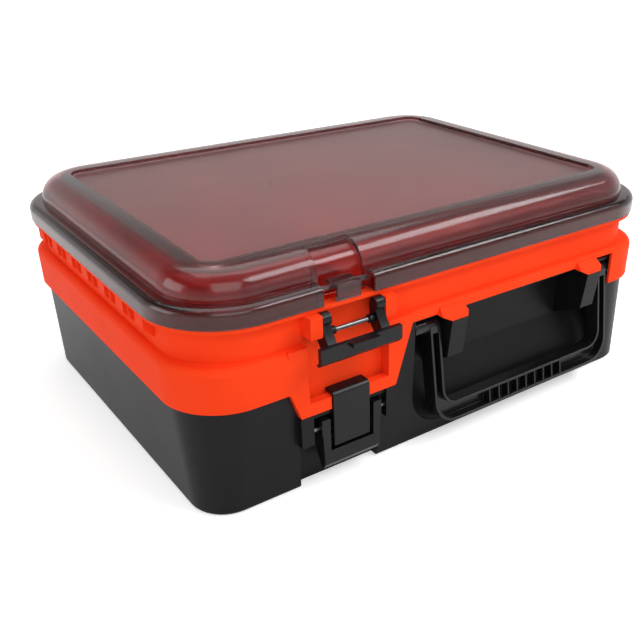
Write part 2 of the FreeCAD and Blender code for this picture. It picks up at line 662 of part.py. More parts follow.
def make_tray_shell():
    """Tray with its skirt over the base, the latch apron and both hinge leaves."""
    tub = tray_wall(0, TRAY_BOTTOM_Z, LIP_TOP_Z)
    skirt = case_prism(SKIRT_INSET, SKIRT_CORNER, SKIRT_LOW_Z, SKIRT_TOP_Z)
    skirt = skirt.makeFillet(SKIRT_ROUND, edges_at_height(skirt, SKIRT_TOP_Z))
    lip = case_prism(TRAY_LIP_INSET, TRAY_LIP_CORNER, LIP_LOW_Z, LIP_TOP_Z)
    rim = case_prism(TRAY_RIM_INSET, TRAY_RIM_CORNER, LIP_LOW_Z, RIM_TOP_Z)
    under_skirt = case_prism(SKIRT_INSET + SKIRT_WALL, SKIRT_CORNER - SKIRT_WALL,
                             SKIRT_LOW_Z - CUT_OVERRUN, SKIRT_TOP_Z - SKIRT_WALL)
    ring = case_prism(BASE_RIM_INSET + BASE_WALL / 2, BASE_RIM_CORNER, TRAY_BOTTOM_Z,
                      TRAY_BOTTOM_Z + SUPPORT_RING_THICK)
    skirt = carved(skirt, [under_skirt])
    apron = front_profile(apron_outline(0), SKIRT_FRONT_Y, SKIRT_FRONT_Y + APRON_DEPTH)
    solid = joined([tub, skirt, lip, rim, ring, apron])
    hollow = joined([
        tray_wall(TRAY_WALL, TRAY_BOTTOM_Z + TRAY_FLOOR, LIP_TOP_Z),
        case_prism(TRAY_RIM_INSET + TRAY_RIM_THICK, TRAY_RIM_CORNER - TRAY_RIM_THICK,
                   LIP_LOW_Z + TRAY_WALL, RIM_TOP_Z + CUT_OVERRUN),
    ])
    keep = [latch_pocket(TRAY_WALL), tray_keep_clear(TRAY_WALL)]
    shell = carved(solid, [carved(hollow, keep)])
    face_cut = block(LATCH_X - HOOK_HALF - 2 * SEAT_GAP, LATCH_X + HOOK_HALF + 2 * SEAT_GAP,
                     FRONT_Y - CUT_OVERRUN, SKIRT_FRONT_Y + LEDGE_FACE_CUT,
                     APRON_LOW_Z - CUT_OVERRUN, LEDGE_TOP_Z + CUT_OVERRUN)
    slot = block(SLOT_LEFT_X, SKIRT_RIGHT_X, -CASE_DEPTH, SKIRT_FRONT_Y + SKIRT_WALL,
                 SKIRT_LOW_Z - CUT_OVERRUN, SLOT_TOP_Z)
    shell = carved(shell, [latch_pocket(0), tray_keep_clear(0), skirt_opening(), face_cut, slot, rim_gap()])
    added = upper_ears() + [bump(PILLAR_LEFT_X), bump(PILLAR_RIGHT_X)] + side_pads() + tray_guides()
    lid_web_from = CASE_DEPTH / 2 - TRAY_LIP_INSET - TRAY_WALL
    added += knuckles(LID_AXIS_Y, LID_AXIS_Z, False, LID_AXIS_Z - KNUCKLE_R, LID_AXIS_Z - HINGE_PIN_R,
                      lid_web_from)
    web_from = CASE_DEPTH / 2 - SKIRT_INSET - SKIRT_WALL
    added += knuckles(TRAY_AXIS_Y, TRAY_AXIS_Z, True, TRAY_AXIS_Z + HINGE_PIN_R, TRAY_AXIS_Z + KNUCKLE_R,
                      web_from)
    shell = joined([shell] + added)
    bores = hinge_bores(LID_AXIS_Y, LID_AXIS_Z) + hinge_bores(TRAY_AXIS_Y, TRAY_AXIS_Z) + upper_bores()
    return carved(shell, bores)


def upper_ears():
    """Ears in the pocket that carry the upper latch."""
    found = []
    back = SKIRT_FRONT_Y + POCKET_DEPTH + TRAY_WALL / 2
    for side in (-1, 1):
        near = LATCH_X + side * (CHEEK_HALF_OUT + SEAT_GAP)
        far = LATCH_X + side * (POCKET_HALF + TRAY_WALL / 2)
        found.append(block(min(near, far), max(near, far), UPPER_PIVOT_Y - EAR_FRONT_REACH, back,
                           UPPER_PIVOT_Z - EAR_LOW_DROP, UPPER_PIVOT_Z + EAR_TOP_RISE))
    return found


def upper_pin_span(side):
    """Ends along X of a pivot pin of the upper latch."""
    inner = LATCH_X + side * (CHEEK_HALF_OUT - PIN_BURY)
    outer = LATCH_X + side * (CHEEK_HALF_OUT + SEAT_GAP + PIN_BURY)
    return min(inner, outer), max(inner, outer)


def upper_bores():
    """Seats in the ears for the pivot pins of the upper latch."""
    found = []
    for side in (-1, 1):
        low, high = upper_pin_span(side)
        found.append(rod_x(low - PIN_GAP, high + PIN_GAP, UPPER_PIVOT_Y, UPPER_PIVOT_Z,
                           UPPER_PIN_R + PIN_GAP))
    return found


def bump(middle):
    """Bump on the tray's front lip, above a pillar of the base."""
    back = SKIRT_FRONT_Y + SKIRT_WALL
    points = [
        (back, BUMP_LOW_Z),
        (back, SKIRT_TOP_Z - SKIRT_WALL),
        (SKIRT_FRONT_Y, SKIRT_TOP_Z - SKIRT_WALL),
        (PILLAR_FRONT_Y, BUMP_SHOULDER_Z),
        (PILLAR_FRONT_Y, BUMP_LOW_Z),
    ]
    low = middle - PILLAR_HALF
    high = middle + PILLAR_HALF
    ridge = side_profile(points, low - BUMP_SLANT, high)
    slant = front_profile([
        (low, BUMP_LOW_Z),
        (low - BUMP_SLANT, BUMP_SHOULDER_Z),
        (low - BUMP_SLANT / 2, SKIRT_TOP_Z),
        (high, SKIRT_TOP_Z),
        (high, BUMP_LOW_Z),
    ], PILLAR_FRONT_Y, back)
    return ridge.common(slant)


def side_pads():
    """Chamfered pads and thin ribs under the lip on both short sides."""
    found = []
    for side in (-1, 1):
        wall = side * (CASE_WIDTH / 2 - TRAY_WALL_INSET - TRAY_WALL / 2)
        face = side * (CASE_WIDTH / 2 - TRAY_LIP_INSET)
        reach = abs(face - wall)
        for index in range(PAD_COUNT):
            middle = (index - (PAD_COUNT - 1) / 2) * PAD_PITCH
            corners = [
                (wall, LIP_LOW_Z + TRAY_LIP_HEIGHT / 2),
                (face, LIP_LOW_Z + TRAY_LIP_HEIGHT / 2),
                (face, LIP_LOW_Z - PAD_HEIGHT + reach),
                (wall, LIP_LOW_Z - PAD_HEIGHT),
            ]
            found.append(front_profile(corners, middle - PAD_WIDTH / 2, middle + PAD_WIDTH / 2))
            if index < PAD_COUNT - 1:
                rib = middle + PAD_PITCH / 2
                found.append(front_profile(corners, rib - PAD_RIB_THICK / 2, rib + PAD_RIB_THICK / 2))
    return found


def tray_guides():
    """Guides on the tray's end walls for the long divider."""
    wall_x = CASE_WIDTH / 2 - TRAY_WALL_INSET - TRAY_WALL
    low = TRAY_BOTTOM_Z + TRAY_FLOOR / 2
    found = []
    for side in (-1, 1):
        found += guide_pair(side * wall_x, TRAY_WALL / 2, TRAY_LONG_Y, low, TRAY_DIVIDER_TOP_Z)
    return found


def make_tray_dividers():
    """Long divider of the tray with the cross dividers before and behind it."""
    room = tray_wall(TRAY_WALL + SEAT_GAP, TRAY_BOTTOM_Z, CASE_HEIGHT)
    half = DIVIDER_THICK / 2
    low = TRAY_BOTTOM_Z + TRAY_FLOOR + SEAT_GAP
    top = TRAY_DIVIDER_TOP_Z
    keep_out = [latch_pocket(TRAY_WALL + SEAT_GAP), tray_keep_clear(TRAY_WALL + SEAT_GAP)]
    found = {}
    long_plate = block(-CASE_WIDTH, CASE_WIDTH, TRAY_LONG_Y - half, TRAY_LONG_Y + half, low, top)
    found["tray_long_divider"] = long_plate.common(room)
    for index, x in enumerate(TRAY_FRONT_X):
        plate = block(x - half, x + half, -CASE_DEPTH, TRAY_LONG_Y - half - SEAT_GAP, low, top)
        found[f"tray_front_divider_{index + 1}"] = carved(plate.common(room), keep_out)
    for index, x in enumerate(TRAY_BACK_X):
        plate = block(x - half, x + half, TRAY_LONG_Y + half + SEAT_GAP, CASE_DEPTH, low, top)
        found[f"tray_back_divider_{index + 1}"] = plate.common(room)
    return found


def dome(inset, low_z):
    """Raised middle of the lid with its large rounded shoulder, drawn in by inset."""
    top = CASE_HEIGHT - inset
    solid = case_prism(DOME_INSET + inset, CASE_CORNER - DOME_INSET - inset, low_z, top)
    return solid.makeFillet(DOME_ROUND - inset, edges_at_height(solid, top))


def dome_recess(growth):
    """Recess in the dome's front shoulder above the tab, with the gap in the flange."""
    front = FRONT_Y - CUT_OVERRUN
    back = FRONT_Y + DOME_RECESS_TOP_MARGIN
    top = CASE_HEIGHT + CUT_OVERRUN
    slab = block(LATCH_X - DOME_RECESS_HALF - growth, LATCH_X + DOME_RECESS_HALF + growth,
                 front, back, LID_LOW_Z - CUT_OVERRUN, top)
    gap = block(LATCH_X - LID_NOTCH_HALF - growth, LATCH_X + LID_NOTCH_HALF + growth,
                front, FRONT_Y + DOME_INSET + growth, LID_LOW_Z - CUT_OVERRUN,
                LID_FLANGE_Z + CUT_OVERRUN)
    behind = dome(DOME_RECESS_DEPTH + growth, LID_LOW_Z - 2 * CUT_OVERRUN)
    return carved(joined([slab, gap]), [behind])


def make_lid_shell():
    """Clear lid: flange with skirt, dome with a sunk panel, latch tab and hinge leaf."""
    flange = case_prism(0, CASE_CORNER, LID_LOW_Z, LID_FLANGE_Z)
    flange = flange.makeFillet(LID_FLANGE_ROUND, edges_at_height(flange, LID_FLANGE_Z))
    solid = joined([flange, dome(0, LID_LOW_Z)])
    panel = case_prism(PANEL_BORDER, PANEL_CORNER, CASE_HEIGHT - PANEL_DROP, CASE_HEIGHT + CUT_OVERRUN)
    under_flange = case_prism(LID_WALL, CASE_CORNER - LID_WALL, LID_LOW_Z - CUT_OVERRUN,
                              LID_FLANGE_Z - LID_WALL)
    under_dome = case_prism(DOME_INSET + LID_WALL, CASE_CORNER - DOME_INSET - LID_WALL,
                            LID_LOW_Z - CUT_OVERRUN, CASE_HEIGHT - PANEL_DROP - LID_WALL)
    inner_round = DOME_ROUND - LID_WALL
    top_edges = edges_at_height(under_dome, CASE_HEIGHT - PANEL_DROP - LID_WALL)
    under_dome = under_dome.makeFillet(inner_round, top_edges)
    hollow = joined([under_flange, under_dome])
    shell = carved(solid, [panel, carved(hollow, [dome_recess(LID_WALL)])])
    shell = carved(shell, [dome_recess(0)])
    web_from = CASE_DEPTH / 2 - LID_WALL
    added = tab_parts() + knuckles(LID_AXIS_Y, LID_AXIS_Z, True, LID_AXIS_Z + HINGE_PIN_R,
                                   LID_AXIS_Z + KNUCKLE_R, web_from)
    shell = joined([shell] + added)
    return carved(shell, hinge_bores(LID_AXIS_Y, LID_AXIS_Z))


def tab_parts():
    """Tab for the upper latch with its shelf, and the rib across the gap in the flange."""
    front = FRONT_Y + TAB_SETBACK
    recess_face = FRONT_Y + DOME_INSET + DOME_RECESS_DEPTH + LID_WALL / 2
    low = LATCH_X - TAB_HALF
    high = LATCH_X + TAB_HALF
    tab = block(low, high, front, front + TAB_THICK, LID_LOW_Z, TAB_TOP_Z)
    shelf = block(low, high, front, recess_face, TAB_TOP_Z - TAB_SHELF_THICK, TAB_TOP_Z)
    rib_y = FRONT_Y + CATCH_RIB_SETBACK
    rib_z = LID_LOW_Z + CATCH_RIB_RISE
    reach = LID_NOTCH_HALF + LID_WALL / 2
    rib = block(LATCH_X - reach, LATCH_X + reach, rib_y, rib_y + CATCH_RIB_THICK,
                rib_z, rib_z + CATCH_RIB_THICK)
    post = block(low, high, rib_y, rib_y + CATCH_RIB_THICK, rib_z, TAB_TOP_Z)
    return [tab, shelf, rib, post]


def make_upper_lever():
    """Lever of the upper latch: two cheeks, the flap and the catch that goes over the tab."""
    y = UPPER_PIVOT_Y
    z = UPPER_PIVOT_Z
    eye = UPPER_EYE_R
    face = y - FLAP_FACE_REACH
    top = z - FLAP_TOP_DROP
    low = z - FLAP_LOW_DROP
    neck = (FLAP_FACE_REACH + eye) / 3
    tangent_y = eye * EYE_TANGENT_SHARES[0]
    tangent_z = eye * EYE_TANGENT_SHARES[1]
    points = [
        (y - tangent_y, z - tangent_z),
        (y - neck, z - FLAP_TOP_DROP * 2 / 3),
        (face + FLAP_THICK, top),
        (face, top),
        (face, low + FLAP_CORNER),
        (face + FLAP_CORNER, low),
        (face + 2 * FLAP_CORNER, low),
        (y + eye, z - FLAP_TOP_DROP),
        (y + eye, z),
    ]
    parts = []
    for side in (-1, 1):
        near = LATCH_X + side * CHEEK_HALF_IN
        far = LATCH_X + side * CHEEK_HALF_OUT
        cheek = side_profile(points, min(near, far), max(near, far))
        parts.append(cheek.fuse(rod_x(min(near, far), max(near, far), y, z, eye)))
    flap_points = [
        (face + FLAP_THICK, top),
        (face, top),
        (face, low + FLAP_CORNER),
        (face + FLAP_CORNER, low),
        (face + 2 * FLAP_CORNER, low),
        (face + FLAP_THICK, low + FLAP_CORNER),
    ]
    flap = side_profile(flap_points, LATCH_X - FLAP_HALF, LATCH_X + FLAP_HALF)
    parts.append(flap)
    parts.append(block(LATCH_X - CATCH_HALF, LATCH_X + CATCH_HALF, face - CATCH_REACH,
                       face + FLAP_THICK, top - CATCH_THICK, top))
    lever = joined(parts)
    bores = []
    for side in (-1, 1):
        pin_low, pin_high = upper_pin_span(side)
        bores.append(rod_x(pin_low - PIN_GAP, pin_high + PIN_GAP, y, z, UPPER_PIN_R + PIN_GAP))
    bores.append(rod_x(LATCH_X - CHEEK_HALF_IN - CROSS_PIN_BURY, LATCH_X + CHEEK_HALF_IN + CROSS_PIN_BURY,
                       y, z - CROSS_PIN_DROP, CROSS_PIN_R))
    return carved(lever, bores)


def make_upper_cross_pin():
    """Steel pin between the cheeks of the upper latch."""
    reach = CHEEK_HALF_IN + CROSS_PIN_BURY
    return rod_x(LATCH_X - reach, LATCH_X + reach, UPPER_PIVOT_Y, UPPER_PIVOT_Z - CROSS_PIN_DROP, CROSS_PIN_R)


def make_lower_lever():
    """Lever of the lower latch: two arms joined by a bar at the foot."""
    arm_points = [
        (LOWER_FRONT_Y, LOWER_TOP_Z),
        (LOWER_BACK_Y, LOWER_TOP_Z),
        (LOWER_BACK_Y, LOWER_BAR_TOP_Z - LOWER_BAR_SLOPE),
        (LOWER_FRONT_Y + LOWER_BAR_THICK, LOWER_FOOT_Z),
        (LOWER_FRONT_Y + LOWER_LIP_DEPTH, LOWER_FOOT_Z),
        (LOWER_FRONT_Y, LOWER_FOOT_Z + LOWER_LIP_RISE),
    ]
    body = side_profile(arm_points, LATCH_X - LOWER_ARM_HALF_OUT, LATCH_X + LOWER_ARM_HALF_OUT)
    outline = front_profile([
        (LATCH_X - LOWER_ARM_HALF_OUT, LOWER_TOP_Z),
        (LATCH_X - LOWER_FOOT_HALF, LOWER_FOOT_Z),
        (LATCH_X + LOWER_FOOT_HALF, LOWER_FOOT_Z),
        (LATCH_X + LOWER_ARM_HALF_OUT, LOWER_TOP_Z),
    ], LOWER_FRONT_Y, LOWER_BACK_Y)
    eye_low = LOWER_PIVOT_Z
    upright = block(LATCH_X - LOWER_ARM_HALF_OUT, LATCH_X + LOWER_ARM_HALF_OUT, LOWER_FRONT_Y, LOWER_BACK_Y,
                    eye_low - 2 * LOWER_PIN_R, LOWER_TOP_Z)
    body = body.common(joined([outline, upright]))
    gap_points = [
        (LOWER_FRONT_Y - CUT_OVERRUN, LOWER_TOP_Z + CUT_OVERRUN),
        (LOWER_FRONT_Y - CUT_OVERRUN, LOWER_BAR_TOP_Z),
        (LOWER_FRONT_Y + LOWER_BAR_SLOPE / 2, LOWER_BAR_TOP_Z),
        (LOWER_FRONT_Y + LOWER_BAR_THICK, LOWER_BAR_TOP_Z - LOWER_BAR_SLOPE),
        (LOWER_BACK_Y + CUT_OVERRUN, LOWER_BAR_TOP_Z - LOWER_BAR_SLOPE),
        (LOWER_BACK_Y + CUT_OVERRUN, LOWER_TOP_Z + CUT_OVERRUN),
    ]
    gap = side_profile(gap_points, LATCH_X - LOWER_ARM_HALF_IN, LATCH_X + LOWER_ARM_HALF_IN)
    bores = [gap]
    for side in (-1, 1):
        low, high = lower_pin_span(side)
        bores.append(rod_x(low - PIN_GAP, high + PIN_GAP, LOWER_PIVOT_Y, LOWER_PIVOT_Z,
                           LOWER_PIN_R + PIN_GAP))
    low, high = link_span()
    bores.append(rod_x(low, high, LINK_PIN_Y, LINK_PIN_Z, LINK_PIN_R))
    return carved(body, bores)


def link_span():
    """Ends along X of the link pin, held in both arms."""
    reach = LOWER_ARM_HALF_IN + PIN_BURY / 2
    return LATCH_X - reach, LATCH_X + reach


def make_lower_hook():
    """Hook of the lower latch, over the ledge of the apron."""
    front = LOWER_FRONT_Y
    points = [
        (front, HOOK_LOW_Z),
        (front, HOOK_TOP_Z - HOOK_THICK),
        (front + HOOK_THICK / 2, HOOK_TOP_Z - HOOK_THICK / 4),
        (front + HOOK_THICK, HOOK_TOP_Z),
        (HOOK_BACK_Y, HOOK_TOP_Z),
        (HOOK_BACK_Y, HOOK_TOP_Z - HOOK_THICK),
        (front + HOOK_THICK, HOOK_TOP_Z - HOOK_THICK),
        (front + HOOK_THICK, HOOK_LOW_Z),
    ]
    plate = side_profile(points, LATCH_X - HOOK_HALF, LATCH_X + HOOK_HALF)
    eye = rod_x(LATCH_X - HOOK_HALF, LATCH_X + HOOK_HALF, LINK_PIN_Y, LINK_PIN_Z, HOOK_EYE_R)
    eye = eye.common(block(LATCH_X - HOOK_HALF, LATCH_X + HOOK_HALF, front, LOWER_BACK_Y,
                           HOOK_LOW_Z, HOOK_TOP_Z))
    web = block(LATCH_X - HOOK_HALF, LATCH_X + HOOK_HALF, front + HOOK_THICK / 2, LINK_PIN_Y,
                LINK_PIN_Z - HOOK_EYE_R, LINK_PIN_Z + HOOK_EYE_R)
    hook = joined([plate, eye, web])
    low, high = link_span()
    return carved(hook, [rod_x(low, high, LINK_PIN_Y, LINK_PIN_Z, LINK_PIN_R + PIN_GAP)])


def handle_loop(edge_inset, corner, low_y, high_y, top_z):
    """Hanging loop of the handle, drawn in all round by edge_inset."""
    low_x = HANDLE_X - HANDLE_HALF + edge_inset[0]
    high_x = HANDLE_X + HANDLE_HALF - edge_inset[0]
    low_z = HANDLE_LOW_Z + edge_inset[1]
    solid = block(low_x, high_x, low_y, high_y, low_z, top_z)
    return solid.makeFillet(corner, upright_edges(solid, (low_x, high_x), (low_z,)))


def make_handle():
    """Carry handle: a channel-shaped bail with ribs in the grip."""
    front = HANDLE_PIVOT_Y - HANDLE_THICK / 2
    back = front + HANDLE_THICK
    top = HANDLE_PIVOT_Z
    outer = handle_loop((0, 0), HANDLE_CORNER, front, back, top)
    inner = handle_loop((HANDLE_ARM, HANDLE_GRIP), HANDLE_INNER_CORNER, front - CUT_OVERRUN,
                        back + CUT_OVERRUN, top + CUT_OVERRUN)
    body = carved(outer, [inner])
    channel_out = handle_loop((HANDLE_RIM, HANDLE_RIM), HANDLE_CORNER - HANDLE_RIM,
                              front - CUT_OVERRUN, front + HANDLE_CHANNEL, top - HANDLE_EYE_R)
    channel_in = handle_loop((HANDLE_ARM - HANDLE_RIM, HANDLE_GRIP - HANDLE_RIM),
                             HANDLE_INNER_CORNER + HANDLE_RIM, front - 2 * CUT_OVERRUN,
                             front + HANDLE_CHANNEL + CUT_OVERRUN, top)
    body = carved(body, [carved(channel_out, [channel_in])])
    parts = [body]
    grip_low = HANDLE_LOW_Z + HANDLE_RIM / 2
    grip_high = HANDLE_LOW_Z + HANDLE_GRIP - HANDLE_RIM / 2
    for index in range(HANDLE_RIB_COUNT):
        x = HANDLE_X + (index - (HANDLE_RIB_COUNT - 1) / 2) * HANDLE_RIB_PITCH
        parts.append(block(x - HANDLE_RIB_THICK / 2, x + HANDLE_RIB_THICK / 2, front + HANDLE_RIM / 2,
                           front + HANDLE_CHANNEL + HANDLE_RIM / 2, grip_low, grip_high))
    for side in (-1, 1):
        low, high = handle_boss_span(side)
        parts.append(rod_x(low, high, HANDLE_PIVOT_Y, HANDLE_PIVOT_Z, HANDLE_EYE_R))
    handle = joined(parts)
    bores = []
    for side in (-1, 1):
        low, high = handle_pin_span(side)
        bores.append(rod_x(low - PIN_GAP, high + PIN_GAP, HANDLE_PIVOT_Y, HANDLE_PIVOT_Z,
                           HANDLE_PIN_R + PIN_GAP))
    handle = carved(handle, bores)
    handle.rotate(V(0, HANDLE_PIVOT_Y, HANDLE_PIVOT_Z), V(1, 0, 0), -HANDLE_LEAN_DEG)
    return handle


def make_hinge_pins(axis_y, axis_z):
    """Left and right pin of a hinge line."""
    found = []
    for middle in (-HINGE_X, HINGE_X):
        found.append(rod_x(middle - HINGE_HALF, middle + HINGE_HALF, axis_y, axis_z, HINGE_PIN_R))
    return found


def make_parts():
    """All pieces of the case by name."""
    parts = {}
    parts["base_shell"] = make_base_shell()
    parts.update(make_base_dividers())
    parts["tray_shell"] = make_tray_shell()
    parts.update(make_tray_dividers())
    parts["lid_shell"] = make_lid_shell()
    left, right = make_hinge_pins(LID_AXIS_Y, LID_AXIS_Z)
    parts["lid_hinge_pin_left"] = left
    parts["lid_hinge_pin_right"] = right
    left, right = make_hinge_pins(TRAY_AXIS_Y, TRAY_AXIS_Z)
    parts["tray_hinge_pin_left"] = left
    parts["tray_hinge_pin_right"] = right
    parts["upper_latch_lever"] = make_upper_lever()
    parts["upper_latch_cross_pin"] = make_upper_cross_pin()
    parts["lower_latch_lever"] = make_lower_lever()
    parts["lower_latch_hook"] = make_lower_hook()
    parts["lower_latch_link_pin"] = rod_x(*link_span(), LINK_PIN_Y, LINK_PIN_Z, LINK_PIN_R)
    parts["carry_handle"] = make_handle()
    for word, side in (("left", -1), ("right", 1)):
        low, high = upper_pin_span(side)
        parts[f"upper_latch_pin_{word}"] = rod_x(low, high, UPPER_PIVOT_Y, UPPER_PIVOT_Z, UPPER_PIN_R)
        low, high = lower_pin_span(side)
        parts[f"lower_latch_pin_{word}"] = rod_x(low, high, LOWER_PIVOT_Y, LOWER_PIVOT_Z, LOWER_PIN_R)
        low, high = handle_pin_span(side)
        parts[f"handle_pin_{word}"] = rod_x(low, high, HANDLE_PIVOT_Y, HANDLE_PIVOT_Z, HANDLE_PIN_R)
    return parts


os.makedirs("parts", exist_ok=True)
for name, shape in make_parts().items():
    solids = len(shape.Solids)
    print(f"{name}: {solids} solids, {shape.Volume / 1000:.1f} cm3, valid {shape.isValid()}")
    shape.exportStep(f"parts/{name}.step")
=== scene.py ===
"""A two-tier fishing tackle case: black base box, orange tray, smoke see-through lid.

Lengths are in metres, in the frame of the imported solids, apart from the camera's lens and sensor.
"""

import json
import math

import bmesh
import bpy
from mathutils import Matrix, Vector


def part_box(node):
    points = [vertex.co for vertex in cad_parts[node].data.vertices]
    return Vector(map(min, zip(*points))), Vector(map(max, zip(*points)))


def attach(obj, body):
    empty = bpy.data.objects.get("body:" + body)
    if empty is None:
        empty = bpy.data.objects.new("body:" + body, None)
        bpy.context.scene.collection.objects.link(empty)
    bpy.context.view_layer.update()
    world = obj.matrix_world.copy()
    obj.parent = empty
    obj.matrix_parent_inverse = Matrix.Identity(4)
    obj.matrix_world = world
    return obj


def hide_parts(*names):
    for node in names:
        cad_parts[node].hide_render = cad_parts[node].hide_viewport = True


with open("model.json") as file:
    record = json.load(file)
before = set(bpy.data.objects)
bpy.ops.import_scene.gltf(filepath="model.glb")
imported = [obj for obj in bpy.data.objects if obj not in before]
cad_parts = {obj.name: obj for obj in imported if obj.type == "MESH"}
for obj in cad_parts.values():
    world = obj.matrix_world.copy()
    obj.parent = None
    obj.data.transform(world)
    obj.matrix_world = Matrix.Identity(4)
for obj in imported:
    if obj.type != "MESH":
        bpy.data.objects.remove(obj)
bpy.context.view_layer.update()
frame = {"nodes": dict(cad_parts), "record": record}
slots = {entry["node"]: entry["material_slot"] for entry in frame["record"]["subparts"]}
body_of = {node: body for body, names in frame["record"]["behaviour"]["bodies"].items() for node in names}

MM = 0.001
BLACK = (0.0, 0.0, 0.0, 1.0)
WHITE = (1.0, 1.0, 1.0, 1.0)

# Sockets of a Mix node that blends colours
MIX_SHARE = 0
MIX_FIRST = 6
MIX_SECOND = 7
MIX_RESULT = 2

# Random patterns, and how the clouds in them bring in a finish's second colour
NOISE_DETAIL = 2.0
NOISE_ROUGHNESS = 0.55
NOISE_MIDDLE = 0.5
CLOUD_START = 0.4
CLOUD_GAIN = 2.5

# Widths of clouds and grain, and how far they change the roughness
MOULDED_CLOUD = 60 * MM
LID_CLOUD = 80 * MM
PLASTIC_GRAIN = 0.35 * MM
STEEL_GRAIN = 0.2 * MM
GRAIN_GLOSS = 0.10
CLOUD_GLOSS = 0.08
LID_CLOUD_GLOSS = 0.06

# Moulded plastics and pin steel: two near colours, roughness, relief depth and shader values
MOULDED = {
    "tray_orange": {
        "colours": ((0.93, 0.058, 0.012), (0.89, 0.050, 0.010)),
        "roughness": 0.50,
        "relief": 0.010 * MM,
        "shader": {"Specular IOR Level": 0.03},
    },
    "base_black": {
        "colours": ((0.006, 0.006, 0.007), (0.008, 0.008, 0.009)),
        "roughness": 0.36,
        "relief": 0.022 * MM,
        "shader": {"Specular IOR Level": 0.15},
    },
    "latch_black": {
        "colours": ((0.005, 0.005, 0.006), (0.007, 0.007, 0.008)),
        "roughness": 0.30,
        "relief": 0.010 * MM,
        "shader": {"Specular IOR Level": 0.24},
    },
    "handle_black": {
        "colours": ((0.006, 0.006, 0.007), (0.009, 0.009, 0.010)),
        "roughness": 0.22,
        "relief": 0.008 * MM,
        "shader": {"Specular IOR Level": 0.36},
    },
    "pin_steel": {
        "colours": ((0.20, 0.20, 0.21), (0.16, 0.16, 0.17)),
        "roughness": 0.30,
        "relief": 0.004 * MM,
        "shader": {"Metallic": 1.0},
        "grain": STEEL_GRAIN,
    },
}

# The lid's rounded outline in plan, without its tab and hinge leaf
LID_HALF_DEPTH = 180 * MM
LID_CORNER = 62 * MM

# The lid's sunk panel: its way in from the outline, and its corner radius
PANEL_BORDER = 41 * MM
PANEL_CORNER = 14 * MM

# The lid's curved shoulder: where it starts and ends, in from the outline, and how softly
SHOULDER_LOW = 11.5 * MM
SHOULDER_HIGH = 32 * MM
SHOULDER_FADE = 4 * MM

# Smoke plastic: two near colours for each part of the lid, from the middle out, and its gloss
PANEL_COLOURS = ((0.68, 0.50, 0.505), (0.65, 0.47, 0.475))
RING_COLOURS = ((0.13, 0.09, 0.095), (0.11, 0.075, 0.08))
SHOULDER_COLOURS = ((0.50, 0.24, 0.25), (0.46, 0.21, 0.22))
RIM_COLOURS = ((0.24, 0.155, 0.16), (0.21, 0.13, 0.135))
PANEL_ROUGH = 0.34
BORDER_ROUGH = 0.14
SMOKE_IOR = 1.45

# The finish of each material slot
SLOT_FINISH = {
    "black_plastic": "base_black",
    "divider_black": "base_black",
    "latch_black": "latch_black",
    "handle_black": "handle_black",
    "orange_plastic": "tray_orange",
    "divider_orange": "tray_orange",
    "smoke_plastic": "lid_smoke",
    "pin_steel": "pin_steel",
}

# Softened width of the hard edges, for the solids that show them
SOFTENED = {
    "base_shell": 0.7 * MM,
    "tray_shell": 0.6 * MM,
    "lid_shell": 0.5 * MM,
    "upper_latch_lever": 0.6 * MM,
    "lower_latch_lever": 0.7 * MM,
    "lower_latch_hook": 0.7 * MM,
    "carry_handle": 0.5 * MM,
}
SOFT_SEGMENTS = 2

# Copies of solids: points merged within a distance, faces joined below one angle, edges hard above the other
MERGE_DISTANCE = 0.004 * MM
FLAT_ANGLE = math.radians(0.6)
HARD_ANGLE = math.radians(32.0)

# Steps around a small turned piece, and over its rounded rims
TURNED_SEGMENTS = 32
RIM_SEGMENTS = 3

# Collars on the cross pin: their way in from its ends, and their size
COLLAR_INSET = 3.5 * MM
COLLAR_LENGTH = 5.0 * MM
COLLAR_RADIUS = 3.3 * MM
COLLAR_ROUND = 0.7 * MM

# Gate marks on the lid's panel: their places in plan, their way down from the lid's top, and their size
GATE_PLACES = ((-64.6 * MM, 5.6 * MM), (123.1 * MM, -4.8 * MM))
PANEL_DROP = 3.5 * MM
GATE_RADIUS = 1.5 * MM
GATE_HEIGHT = 0.8 * MM
GATE_ROUND = 0.2 * MM

# Floor: half its side, its gap under the case, and its plain finish
FLOOR_HALF = 6.0
FLOOR_GAP = 0.2 * MM
FLOOR_COLOUR = (0.85, 0.85, 0.85, 1.0)
FLOOR_ROUGH = 0.9

# White that the camera sees on the floor, near the case and far from it, and its share in reflections
FLOOR_NEAR = 0.35
FLOOR_FAR = 1.3
FLOOR_GLOW_NEAR = 0.45
FLOOR_GLOW_FAR = 1.0
FLOOR_IN_GLOSS = 0.5

# Grey light of the room: height in it, from 0 at eye level to 1 overhead, and brightness there
SKY_STOPS = ((0.10, 0.42), (0.60, 0.18))

# The white backdrop in reflections and through the lid, whole up to one such height and gone at the next
BACKDROP_WHOLE = 0.12
BACKDROP_GONE = 0.47

# Softboxes: place, target, width and height, and watts
SOFTBOXES = {
    "front_softbox": ((-0.7, -1.9, 1.5), (0.0, 0.0, 0.1), (1.8, 1.3), 20.0),
    "left_softbox": ((-1.9, 0.5, 0.7), (0.0, 0.0, 0.1), (1.2, 0.9), 10.0),
    "top_softbox": ((0.1, 0.3, 1.7), (0.0, 0.0, 0.1), (1.8, 1.4), 16.0),
    "shoulder_softbox": ((0.95, -0.95, 1.45), (0.0, -0.1, 0.15), (1.6, 0.5), 22.0),
}

# Camera, fitted to the photograph: sensor and lens in millimetres, angles in radians
SENSOR_WIDTH = 36.0
LENS = 45.89
SHIFT_X = -0.0887
SHIFT_Y = 0.0804
CAMERA_PLACE = (-0.4095, -0.6145, 0.3872)
CAMERA_TURN = -0.6386
CAMERA_TILT = 0.5090
CAMERA_ROLL = 0.0006
NEAREST_SEEN = 0.05
FARTHEST_SEEN = 30.0


